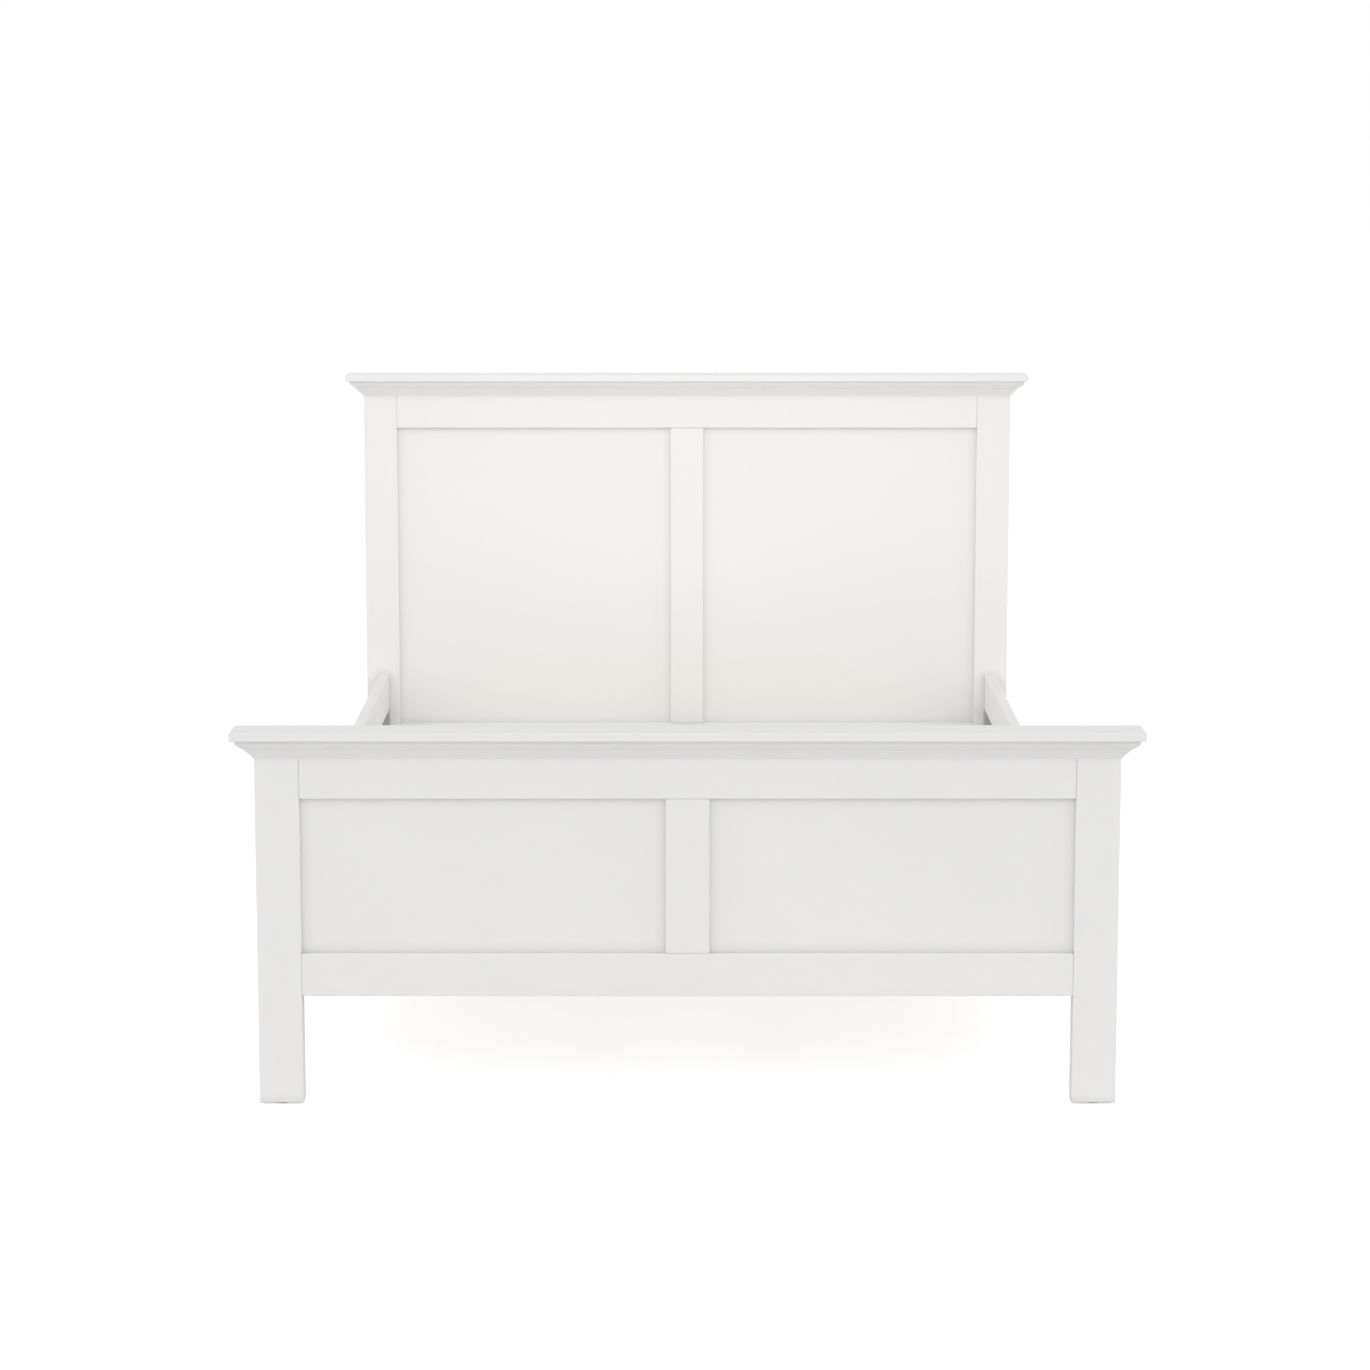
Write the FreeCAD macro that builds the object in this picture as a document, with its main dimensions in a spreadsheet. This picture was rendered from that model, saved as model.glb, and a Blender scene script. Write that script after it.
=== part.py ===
import FreeCAD, Part
import math
import os
import re

import Sketcher

# A white panelled bed for one mattress: a head board and a foot board of posts, rails, stile and
# flat panels under a crown moulding and a cap, two side rails hooked between the posts, and a
# slatted base that lies on steel ledges and on a centre beam.
# Frame: X across the bed, +Y from foot to head, +Z up. The origin lies on the floor in the middle.
# Left and right are those of someone who stands at the foot and looks at the head board.

# Driving sizes in millimetres, shares and counts: name, value, meaning.
SIZES = [
    ("mattress_width", 1400, "width of the mattress"),
    ("mattress_length", 2000, "length of the mattress"),
    ("mattress_side_gap", 5.5, "gap between mattress and side rail"),
    ("mattress_end_gap", 8.5, "gap between mattress and post face"),
    ("post_width", 78, "face width of a post"),
    ("post_depth", 35, "depth of a post from front to back"),
    ("foot_height", 677, "floor to top of the foot board's cap"),
    ("head_height", 1106, "floor to top of the head board's cap"),
    ("glide_thickness", 3, "felt glide under each post"),
    ("glide_radius", 13, "radius of a felt glide"),
    ("rail_clearance", 197, "floor to underside of side rails and bottom rails"),
    ("rail_thickness", 24, "thickness of a side rail"),
    ("rail_height", 195, "height of a side rail"),
    ("rail_set_in", 28, "side rail's outer face in from the post's outer face"),
    ("board_rail_thickness", 28, "thickness of the boards' rails and stiles"),
    ("bottom_rail_height", 77, "height of a bottom rail"),
    ("foot_top_rail_show", 73, "foot board's top rail seen below the moulding"),
    ("head_top_rail_show", 76, "head board's top rail seen below the moulding"),
    ("stile_width", 77.5, "width of a centre stile"),
    ("panel_thickness", 9, "thickness of a panel"),
    ("panel_recess", 11, "panel face behind the boards' front face"),
    ("panel_play", 0.2, "groove wider than the panel"),
    ("groove_depth", 10, "depth of a panel groove"),
    ("groove_end_gap", 2, "room left at the bottom of a groove"),
    ("cap_thickness", 16, "thickness of a cap"),
    ("cap_overhang", 38.5, "cap past the posts at its front and ends"),
    ("cap_round", 3, "rounding of a cap's edges"),
    ("cornice_height", 36, "height of the crown moulding"),
    ("cornice_projection", 29.6, "reach of the moulding at its top"),
    ("cornice_band", 5.8, "flat band at the moulding's top"),
    ("ovolo_projection", 15.2, "reach at the foot of the upper round"),
    ("ovolo_drop", 18.2, "foot of the upper round below the cap"),
    ("ovolo_bulge_share", 0.04, "height of the upper round's bow to its chord"),
    ("cornice_step", 0.8, "small step between round and hollow"),
    ("cornice_fillet", 2, "narrow upright face between round and hollow"),
    ("cove_hollow_share", 0.03, "depth of the lower hollow to its chord"),
    ("cornice_lip", 1.8, "thickness of the moulding's lower edge"),
    ("cornice_lip_height", 0.8, "height of the moulding's lower edge"),
    ("edge_ease", 2, "rounding of the boards' edges"),
    ("ease_limit_share", 0.3, "largest rounding to the thickness of its piece"),
    ("dowel_radius", 4, "radius of a wooden dowel"),
    ("dowel_length", 30, "length of a wooden dowel"),
    ("dowel_play", 0.1, "dowel hole wider than the dowel, on the radius"),
    ("dowel_end_gap", 1, "room past each end of a dowel"),
    ("dowel_edge", 20, "dowel axis in from a board's edge"),
    ("cap_dowel_depth", 10, "part of a dowel that stands in the cap"),
    ("cap_dowel_share", 0.5, "inner cap dowel from the middle to the post"),
    ("ledge_drop", 84, "ledge's top edge below the rail's top"),
    ("ledge_height", 50, "height of the ledge's upright leg"),
    ("ledge_reach", 30, "width of the ledge's flange"),
    ("ledge_thickness", 2.5, "thickness of the ledge's steel"),
    ("ledge_end_gap", 45, "ledge's end from the post face"),
    ("ledge_screw_count", 7, "screws in each ledge"),
    ("ledge_screw_drop", 16, "screws below the ledge's top edge"),
    ("ledge_screw_margin", 60, "first and last screw in from the ledge's ends"),
    ("bracket_width", 32, "hook bracket's leg along the rail"),
    ("bracket_height", 90, "height of a hook bracket"),
    ("bracket_thickness", 2, "steel of brackets and slotted plates"),
    ("bracket_end_reach", 19, "hook bracket's leg across the rail's end"),
    ("bracket_screw_edge", 18, "bracket's screws in from its top and bottom"),
    ("hook_edge", 24, "hook's neck in from the bracket's top and bottom"),
    ("hook_neck", 10, "height of a hook's neck"),
    ("hook_drop", 8, "hook's nose below its neck"),
    ("hook_nose", 3.5, "thickness of a hook's nose"),
    ("hook_play", 0.4, "gap between hook and slotted plate"),
    ("plate_margin", 2, "slotted plate in from the rail's faces"),
    ("plate_height", 122, "height of a slotted plate"),
    ("plate_screw_edge", 8, "slotted plate's screws in from its ends"),
    ("mortise_room", 1, "room round a hook inside the post"),
    ("screw_radius", 2, "shank of a fitting screw"),
    ("screw_head_radius", 4, "countersunk head of a fitting screw"),
    ("screw_head_height", 1.6, "height of a fitting screw's head"),
    ("screw_length", 16, "length of a fitting screw with its head"),
    ("screw_play", 0.1, "hole wider than the screw, on the radius"),
    ("beam_width", 30, "width of the centre beam"),
    ("beam_height", 40, "height of the centre beam"),
    ("beam_wall", 1.5, "wall of the centre beam's tube"),
    ("beam_play", 0.5, "gap between the beam and its saddle"),
    ("saddle_thickness", 2.5, "steel of a beam saddle"),
    ("saddle_reach", 32, "depth of a saddle under the beam"),
    ("saddle_cheek", 26, "height of a saddle's cheeks beside the beam"),
    ("saddle_plate_width", 72, "width of a saddle's back plate"),
    ("saddle_screw_edge", 10, "saddle's screws in from its plate's ends"),
    ("leg_spacing", 600, "distance between the two centre legs"),
    ("leg_radius", 14, "outer radius of a centre leg's tube"),
    ("leg_wall", 1.5, "wall of a centre leg's tube"),
    ("leg_plate_thickness", 3, "plate on top of a centre leg"),
    ("leg_plate_length", 76, "length of that plate along the beam"),
    ("leg_screw_edge", 9, "plate's screws in from its ends"),
    ("leg_plug", 15, "threaded plug in the leg's lower end"),
    ("foot_travel", 20, "height that a levelling foot can be turned up"),
    ("foot_spare", 2, "gap left above a foot that is turned right up"),
    ("foot_pad_radius", 22, "radius of a levelling foot's pad"),
    ("foot_pad_height", 8, "height of a levelling foot's pad"),
    ("foot_pad_round", 2.5, "rounding of the pad's upper edge"),
    ("foot_hex_radius", 9, "corner radius of the foot's hexagon"),
    ("foot_hex_height", 5, "height of the foot's hexagon"),
    ("foot_stud_radius", 5, "radius of a levelling foot's stud"),
    ("foot_stud_play", 0.3, "gap round the stud in its plug"),
    ("foot_stud_spare", 6, "stud above the plug at rest"),
    ("slat_count", 13, "slats in the base"),
    ("slat_width", 68, "width of a slat"),
    ("slat_thickness", 16, "thickness of a slat"),
    ("slat_end_gap", 2, "gap between slat end and ledge"),
    ("slat_margin", 62, "first and last slat from the post faces"),
    ("strap_width", 25, "width of a webbing strap"),
    ("strap_thickness", 1.2, "thickness of a webbing strap"),
    ("strap_lift", 0.2, "gap between strap and slat"),
    ("strap_place_share", 0.5, "strap from the middle to the slat's end"),
    ("cut_overrun", 5, "how far a cut runs past the piece it cuts"),
]

# Places and sizes that follow from the driving ones.
PLACES = [
    ("rail_inner", "mattress_width / 2 + mattress_side_gap"),
    ("rail_outer", "rail_inner + rail_thickness"),
    ("post_outer", "rail_outer + rail_set_in"),
    ("post_inner", "post_outer - post_width"),
    ("post_middle", "post_outer - post_width / 2"),
    ("cap_end", "post_outer + cap_overhang"),
    ("well_length", "mattress_length + 2 * mattress_end_gap"),
    ("half_length", "(cap_overhang + 2 * post_depth + well_length) / 2"),
    ("foot_front", "cap_overhang - half_length"),
    ("foot_back", "foot_front + post_depth"),
    ("head_front", "foot_back + well_length"),
    ("head_back", "head_front + post_depth"),
    ("well_middle", "(foot_back + head_front) / 2"),
    ("rail_top", "rail_clearance + rail_height"),
    ("bottom_rail_top", "rail_clearance + bottom_rail_height"),
    ("foot_cap_bottom", "foot_height - cap_thickness"),
    ("head_cap_bottom", "head_height - cap_thickness"),
    ("foot_top_rail_bottom", "foot_cap_bottom - cornice_height - foot_top_rail_show"),
    ("head_top_rail_bottom", "head_cap_bottom - cornice_height - head_top_rail_show"),
    ("stile_half", "stile_width / 2"),
    ("groove_width", "panel_thickness + panel_play"),
    ("panel_bite", "groove_depth - groove_end_gap"),
    ("foot_dowel_line", "foot_front + board_rail_thickness / 2"),
    ("head_dowel_line", "head_front + board_rail_thickness / 2"),
    ("dowel_hole_radius", "dowel_radius + dowel_play"),
    ("cove_projection", "ovolo_projection - cornice_step"),
    ("cove_start", "ovolo_drop + cornice_fillet"),
    ("cove_drop", "cornice_height - cornice_lip_height"),
    ("ovolo_chord", "sqrt((cornice_projection - ovolo_projection) ^ 2 + (ovolo_drop - cornice_band) ^ 2)"),
    ("ovolo_radius", "ovolo_chord * (0.25 + ovolo_bulge_share ^ 2) / (2 * ovolo_bulge_share)"),
    ("cove_chord", "sqrt((cove_projection - cornice_lip) ^ 2 + (cove_drop - cove_start) ^ 2)"),
    ("cove_radius", "cove_chord * (0.25 + cove_hollow_share ^ 2) / (2 * cove_hollow_share)"),
    ("ledge_top", "rail_top - ledge_drop"),
    ("ledge_bottom", "ledge_top - ledge_height"),
    ("ledge_face", "rail_inner - ledge_thickness"),
    ("ledge_start", "foot_back + ledge_end_gap"),
    ("ledge_stop", "head_front - ledge_end_gap"),
    ("ledge_screw_line", "ledge_top - ledge_screw_drop"),
    ("ledge_screw_first", "ledge_start + ledge_screw_margin"),
    ("ledge_screw_last", "ledge_stop - ledge_screw_margin"),
    ("ledge_screw_pitch", "(ledge_screw_last - ledge_screw_first) / (ledge_screw_count - 1)"),
    ("slat_seat", "ledge_bottom + ledge_thickness"),
    ("slat_top", "slat_seat + slat_thickness"),
    ("slat_end", "ledge_face - slat_end_gap"),
    ("slat_first", "foot_back + slat_margin"),
    ("slat_pitch", "(well_length - 2 * slat_margin - slat_width) / (slat_count - 1)"),
    ("strap_middle", "slat_end * strap_place_share"),
    ("bracket_top", "ledge_top"),
    ("bracket_bottom", "bracket_top - bracket_height"),
    ("bracket_face", "rail_inner - bracket_thickness"),
    ("hook_outer", "rail_inner + bracket_end_reach"),
    ("hook_inner", "hook_outer - bracket_thickness"),
    ("hook_low", "bracket_bottom + hook_edge"),
    ("hook_high", "bracket_top - hook_edge - hook_neck"),
    ("hook_back", "bracket_thickness + hook_play"),
    ("hook_tip", "hook_back + hook_nose"),
    ("plate_middle", "(rail_inner + rail_outer) / 2"),
    ("plate_bottom", "(bracket_top + bracket_bottom - plate_height) / 2"),
    ("plate_top", "plate_bottom + plate_height"),
    ("beam_bottom", "slat_seat - beam_height"),
    ("saddle_bottom", "beam_bottom - saddle_thickness"),
    ("saddle_inner", "beam_width / 2 + beam_play"),
    ("saddle_outer", "saddle_inner + saddle_thickness"),
    ("foot_saddle_face", "foot_front + board_rail_thickness"),
    ("head_saddle_face", "head_front"),
    ("saddle_screw_place", "saddle_plate_width / 2 - saddle_screw_edge"),
    ("beam_start", "foot_saddle_face + saddle_thickness + beam_play"),
    ("beam_stop", "head_saddle_face - saddle_thickness - beam_play"),
    ("leg_plate_bottom", "beam_bottom - leg_plate_thickness"),
    ("foot_hex_top", "foot_pad_height + foot_hex_height"),
    ("leg_bottom", "foot_hex_top + foot_travel + foot_spare"),
    ("leg_bore_radius", "leg_radius - leg_wall"),
    ("plug_top", "leg_bottom + leg_plug"),
    ("stud_top", "plug_top + foot_stud_spare"),
]

ENDS = ("foot", "head")
SIDES = ("left", "right")
POST_FACE = {"foot": "foot_back", "head": "head_front"}
UP = FreeCAD.Vector(0, 0, 1)
DIRECTIONS = {
    "+x": FreeCAD.Vector(1, 0, 0),
    "-x": FreeCAD.Vector(-1, 0, 0),
    "+y": FreeCAD.Vector(0, 1, 0),
    "-y": FreeCAD.Vector(0, -1, 0),
    "+z": UP,
}
LEG_PLACES = {
    "front": "(well_middle - leg_spacing / 2)",
    "rear": "(well_middle + leg_spacing / 2)",
}
# Turn of a mitre cut about its corner, by the side of the corner that the cut clears.
MITRE_TURNS = {"right": -45, "left": 135, "front": -135}

doc = FreeCAD.newDocument("PanelledBed")


def fill_sheet(name, rows):
    """Write named rows to a new spreadsheet: meaning in column A, value in column B."""
    sheet = doc.addObject("Spreadsheet::Sheet", name)
    for number, (alias, value, meaning) in enumerate(rows, start=1):
        sheet.set(f"A{number}", meaning)
        sheet.set(f"B{number}", str(value))
        sheet.setAlias(f"B{number}", alias)
    doc.recompute()
    return sheet


size_names = {alias for alias, value, meaning in SIZES}
place_names = {alias for alias, formula in PLACES}


def qualified(formula):
    """Put the sheet's name before each alias in a formula."""

    def with_owner(word):
        if word.group() in size_names:
            return "Sizes." + word.group()
        if word.group() in place_names:
            return "Places." + word.group()
        return word.group()

    return re.sub(r"[A-Za-z_]\w*", with_owner, formula)


sizes = fill_sheet("Sizes", SIZES)
places = fill_sheet("Places", [(alias, "=" + qualified(formula), alias.replace("_", " "))
                               for alias, formula in PLACES])
pieces = []


def amount(alias):
    """The number behind an alias, which may carry a minus sign, or zero."""
    if alias == "0":
        return 0
    name = alias.lstrip("-")
    sheet = sizes if name in size_names else places
    return sheet.get(name) * (-1 if alias.startswith("-") else 1)


def bind(thing, prop, formula):
    thing.setExpression(prop, qualified(formula))


def place(thing, corner, home=("0", "0", "0")):
    """Put a thing at a point given in the bed's frame, measured from its body's own corner."""
    for axis, there, start in zip("xyz", corner, home):
        bind(thing, f"Placement.Base.{axis}", f"({there}) - ({start})")


def across(side, near, far):
    """Span along X on one side of the bed, from near to far of the middle."""
    if side == "right":
        return near, far
    return f"-({far})", f"-({near})"


def at_side(side, distance):
    return distance if side == "right" else f"-({distance})"


def outwards(side):
    return "+x" if side == "right" else "-x"


def into_post(end, near, far, face=None):
    """Span along Y from a post's inner face, or another face, away from the mattress."""
    face = face or POST_FACE[end]
    if end == "head":
        return f"{face} + ({near})", f"{face} + ({far})"
    return f"{face} - ({far})", f"{face} - ({near})"


def into_bed(end, near, far, face=None):
    """Span along Y from a post's inner face, or another face, towards the mattress."""
    face = face or POST_FACE[end]
    if end == "head":
        return bedwards(end, far, face), bedwards(end, near, face)
    return bedwards(end, near, face), bedwards(end, far, face)


def bedwards(end, distance, face):
    """A place along Y at a distance from a face towards the mattress."""
    return f"{face} - ({distance})" if end == "head" else f"{face} + ({distance})"


class Piece:
    """One sub-part: a body with a corner of its own, shaped by features given in the bed's frame."""

    def __init__(self, label, corner):
        self.body = doc.addObject("PartDesign::Body", label)
        self.body.Label = label
        self.corner = corner
        place(self.body, corner)
        pieces.append(self.body)

    def block(self, name, x, y, z, kind="Additive"):
        """Add or take away a box between two planes along each axis."""
        box = self.body.newObject(f"PartDesign::{kind}Box", name)
        for prop, (low, high) in zip(("Length", "Width", "Height"), (x, y, z)):
            bind(box, prop, f"({high}) - ({low})")
        place(box, (x[0], y[0], z[0]), self.corner)

    def cut(self, name, x, y, z):
        self.block(name, x, y, z, "Subtractive")

    def drum(self, name, start, towards, radius, length, kind="Additive"):
        """Add or take away a cylinder that runs from a point along an axis."""
        drum = self.body.newObject(f"PartDesign::{kind}Cylinder", name)
        bind(drum, "Radius", radius)
        bind(drum, "Height", length)
        drum.Placement.Rotation = FreeCAD.Rotation(UP, DIRECTIONS[towards])
        place(drum, start, self.corner)

    def bore(self, name, start, towards, radius, length):
        self.drum(name, start, towards, radius, length, "Subtractive")

    def countersink(self, name, start, towards):
        """Take away the seat of a flat screw head and its shank's hole."""
        cone = self.body.newObject("PartDesign::SubtractiveCone", name)
        bind(cone, "Radius1", "screw_head_radius + screw_play")
        bind(cone, "Radius2", "screw_radius + screw_play")
        bind(cone, "Height", "screw_head_height")
        cone.Placement.Rotation = FreeCAD.Rotation(UP, DIRECTIONS[towards])
        place(cone, start, self.corner)
        self.bore(name + "_shank", start, towards, "screw_radius + screw_play", "screw_length + screw_play")

    def mitre(self, name, x, y, quarter):
        """Cut a 45 degree mitre face through a corner of the moulding."""
        tool = self.body.newObject("PartDesign::SubtractiveBox", name)
        bind(tool, "Length", "2 * cornice_projection")
        bind(tool, "Width", "2 * cornice_projection")
        bind(tool, "Height", "cornice_height + 2 * cut_overrun")
        tool.Placement.Rotation = FreeCAD.Rotation(UP, MITRE_TURNS[quarter])
        place(tool, (x, y, f"{self.corner[2]} - cornice_height - cut_overrun"), self.corner)

    def ease(self, radius, wall):
        """Round all edges made so far, by no more than the wall allows."""
        base = self.body.Tip
        fillet = self.body.newObject("PartDesign::Fillet", "EasedEdges")
        fillet.Base = (base, [])
        fillet.UseAllEdges = True
        bind(fillet, "Radius", f"min({radius}; {wall} * ease_limit_share)")

    def sketch_on(self, role):
        sketch = self.body.newObject("Sketcher::SketchObject", "Section")
        plane = next(item for item in self.body.Origin.OriginFeatures if item.Role == role)
        sketch.AttachmentSupport = [(plane, "")]
        sketch.MapMode = "FlatFace"
        return sketch


def bowed_edge(start, stop, radius, bow):
    """An arc between two points. It bows to the left of the way for 1 and to the right for -1."""
    chord = stop - start
    to_left = FreeCAD.Vector(-chord.y, chord.x, 0).normalize()
    centre = (start + stop) / 2 - to_left * bow * (radius ** 2 - (chord.Length / 2) ** 2) ** 0.5
    ends = (stop, start) if bow > 0 else (start, stop)
    first, last = (math.atan2(point.y - centre.y, point.x - centre.x) for point in ends)
    return Part.ArcOfCircle(Part.Circle(centre, UP, radius), first, last)


def draw_outline(sketch, corners):
    """Draw a closed outline. Each corner has two aliases and the radius and bow of the edge after it."""
    points = [FreeCAD.Vector(amount(x), amount(y), 0) for x, y, radius, bow in corners]
    ends = []
    for number, (x, y, radius, bow) in enumerate(corners):
        start = points[number]
        stop = points[(number + 1) % len(points)]
        if radius is None:
            edge = sketch.addGeometry(Part.LineSegment(start, stop))
        else:
            edge = sketch.addGeometry(bowed_edge(start, stop, amount(radius), bow))
        ends.append((edge, 2, 1) if bow > 0 else (edge, 1, 2))
    for number, (edge, first, last) in enumerate(ends):
        next_edge, next_first, next_last = ends[(number + 1) % len(ends)]
        sketch.addConstraint(Sketcher.Constraint("Coincident", edge, last, next_edge, next_first))
        for kind, alias in zip(("DistanceX", "DistanceY"), corners[number][:2]):
            hold = Sketcher.Constraint(kind, -1, 1, edge, first, amount(alias))
            bind(sketch, f"Constraints[{sketch.addConstraint(hold)}]", alias)
        radius = corners[number][2]
        if radius is not None:
            hold = Sketcher.Constraint("Radius", edge, amount(radius))
            bind(sketch, f"Constraints[{sketch.addConstraint(hold)}]", radius)


def board(label, x, y, z, wall):
    """A wooden board with eased edges."""
    piece = Piece(label, (x[0], y[0], z[0]))
    piece.block("Blank", x, y, z)
    piece.ease("edge_ease", wall)
    return piece


def make_post(end, side):
    """A post with its panel groove on the side of the stile."""
    piece = board(f"{end}_post_{side}", across(side, "post_inner", "post_outer"),
                  (f"{end}_front", f"{end}_front + post_depth"),
                  ("glide_thickness", f"{end}_cap_bottom"), "post_depth")
    piece.cut("PanelGroove", across(side, "post_inner - cut_overrun", "post_inner + groove_depth"),
              groove_span(end),
              ("bottom_rail_top - groove_depth", f"{end}_top_rail_bottom + groove_depth"))
    return piece


def groove_span(end):
    """Depth of a board's panel grooves, from front to back."""
    start = f"{end}_front + panel_recess - panel_play / 2"
    return start, f"{start} + groove_width"


def make_board_rail(end, name, z, groove_z):
    """A rail between two posts, with a groove along its inner edge for each panel."""
    piece = board(f"{end}_{name}", ("-post_inner", "post_inner"),
                  (f"{end}_front", f"{end}_front + board_rail_thickness"), z, "board_rail_thickness")
    for side in SIDES:
        piece.cut(f"PanelGroove_{side}",
                  across(side, "stile_half - groove_depth", "post_inner + cut_overrun"),
                  groove_span(end), groove_z)
    return piece


def make_stile(end):
    """The upright between the two panels, grooved on both sides."""
    piece = board(f"{end}_centre_stile", ("-stile_half", "stile_half"),
                  (f"{end}_front", f"{end}_front + board_rail_thickness"),
                  ("bottom_rail_top", f"{end}_top_rail_bottom"), "board_rail_thickness")
    for side in SIDES:
        piece.cut(f"PanelGroove_{side}",
                  across(side, "stile_half - groove_depth", "stile_half + cut_overrun"),
                  groove_span(end),
                  ("bottom_rail_top - cut_overrun", f"{end}_top_rail_bottom + cut_overrun"))
    return piece


def make_panel(end, side):
    """A flat panel that stands in the grooves of the frame round it."""
    x = across(side, "stile_half - panel_bite", "post_inner + panel_bite")
    y = (f"{end}_front + panel_recess", f"{end}_front + panel_recess + panel_thickness")
    z = ("bottom_rail_top - panel_bite", f"{end}_top_rail_bottom + panel_bite")
    piece = Piece(f"{end}_panel_{side}", (x[0], y[0], z[0]))
    piece.block("Blank", x, y, z)


def make_cap(end):
    """The cap board, flush at the back and proud of posts and moulding at front and ends."""
    piece = Piece(f"{end}_cap", ("-cap_end", f"{end}_front - cap_overhang", f"{end}_cap_bottom"))
    piece.block("Blank", ("-cap_end", "cap_end"),
                (f"{end}_front - cap_overhang", f"{end}_front + post_depth"),
                (f"{end}_cap_bottom", f"{end}_height"))
    piece.ease("cap_round", "cap_thickness")
    return piece


def cornice_outline(sign):
    """Section of the crown moulding: band, round, small step, narrow face, hollow and lower lip."""
    bow = -1 if sign == "-" else 1
    return [
        (sign + "cornice_projection", "-cornice_band", "ovolo_radius", bow),
        (sign + "ovolo_projection", "-ovolo_drop", None, 0),
        (sign + "cove_projection", "-ovolo_drop", None, 0),
        (sign + "cove_projection", "-cove_start", "cove_radius", -bow),
        (sign + "cornice_lip", "-cove_drop", None, 0),
        (sign + "cornice_lip", "-cornice_height", None, 0),
        ("0", "-cornice_height", None, 0),
        ("0", "0", None, 0),
        (sign + "cornice_projection", "0", None, 0),
    ]


def make_cornice(end):
    """The crown moulding under a cap: a front length and two returns, mitred at the corners."""
    front = f"{end}_front"
    under_cap = f"{end}_cap_bottom"
    piece = Piece(f"{end}_cornice_front", ("0", front, under_cap))
    section = piece.sketch_on("YZ_Plane")
    draw_outline(section, cornice_outline("-"))
    length = piece.body.newObject("PartDesign::Pad", "Length")
    length.Profile = section
    length.Midplane = True
    bind(length, "Length", "2 * (post_outer + cornice_projection)")
    for side in SIDES:
        piece.mitre(f"Mitre_{side}", at_side(side, "post_outer"), front, side)
    for side in SIDES:
        piece = Piece(f"{end}_cornice_{side}",
                      (at_side(side, "post_outer"), f"{front} + post_depth", under_cap))
        section = piece.sketch_on("XZ_Plane")
        draw_outline(section, cornice_outline("-" if side == "left" else ""))
        length = piece.body.newObject("PartDesign::Pad", "Length")
        length.Profile = section
        bind(length, "Length", "post_depth + cornice_projection")
        piece.mitre("Mitre", at_side(side, "post_outer"), front, "front")


def make_side_rail(side):
    """A side rail between the posts, with a shallow seat in each end for its hook bracket."""
    piece = board(f"side_rail_{side}", across(side, "rail_inner", "rail_outer"),
                  ("foot_back", "head_front"), ("rail_clearance", "rail_top"), "rail_thickness")
    for end in ENDS:
        piece.cut(f"BracketSeat_{end}", across(side, "rail_inner - cut_overrun", "hook_outer"),
                  into_bed(end, "-cut_overrun", "bracket_thickness"),
                  ("bracket_bottom", "bracket_top"))
    return piece


def make_ledge(side):
    """The steel angle on the rail's inner face that carries the slats' ends."""
    y = ("ledge_start", "ledge_stop")
    x = across(side, "rail_inner - ledge_reach", "rail_inner")
    piece = Piece(f"slat_ledge_{side}", (x[0], y[0], "ledge_bottom"))
    piece.block("Flange", x, y, ("ledge_bottom", "slat_seat"))
    piece.block("UprightLeg", across(side, "ledge_face", "rail_inner"), y, ("ledge_bottom", "ledge_top"))
    return piece


def make_hook_bracket(end, side):
    """An angle on the rail's end whose two hooks drop behind the post's slotted plate."""
    x = across(side, "bracket_face", "rail_inner")
    z = ("bracket_bottom", "bracket_top")
    piece = Piece(f"{end}_hook_bracket_{side}", (x[0], POST_FACE[end], z[0]))
    piece.block("LegAlongRail", x, into_bed(end, "0", "bracket_width"), z)
    piece.block("LegAcrossEnd", across(side, "bracket_face", "hook_outer"),
                into_bed(end, "0", "bracket_thickness"), z)
    for name in ("hook_low", "hook_high"):
        thickness = across(side, "hook_inner", "hook_outer")
        neck_top = f"{name} + hook_neck"
        piece.block(f"Neck_{name}", thickness, into_post(end, "0", "hook_tip"), (name, neck_top))
        piece.block(f"Nose_{name}", thickness, into_post(end, "hook_back", "hook_tip"),
                    (f"{name} - hook_drop", neck_top))
    return piece


def make_slotted_plate(end, side, post):
    """The plate let into a post that takes the hooks, and the room for them behind it."""
    x = across(side, "rail_inner + plate_margin", "rail_outer - plate_margin")
    y = into_post(end, "0", "bracket_thickness")
    z = ("plate_bottom", "plate_top")
    piece = Piece(f"{end}_slotted_plate_{side}", (x[0], y[0], z[0]))
    piece.block("Blank", x, y, z)
    post.cut("PlateSeat", x, into_post(end, "-cut_overrun", "bracket_thickness"), z)
    for name in ("hook_low", "hook_high"):
        slot_top = f"{name} + hook_neck + hook_drop"
        piece.cut(f"Slot_{name}", across(side, "hook_inner - hook_play", "hook_outer + hook_play"),
                  into_post(end, "-cut_overrun", "bracket_thickness + cut_overrun"),
                  (name, f"{slot_top} + hook_play"))
        post.cut(f"HookRoom_{name}",
                 across(side, "hook_inner - mortise_room", "hook_outer + mortise_room"),
                 into_post(end, "0", "hook_tip + mortise_room"),
                 (f"{name} - hook_drop - mortise_room", f"{slot_top} + mortise_room"))
    return piece


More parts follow.
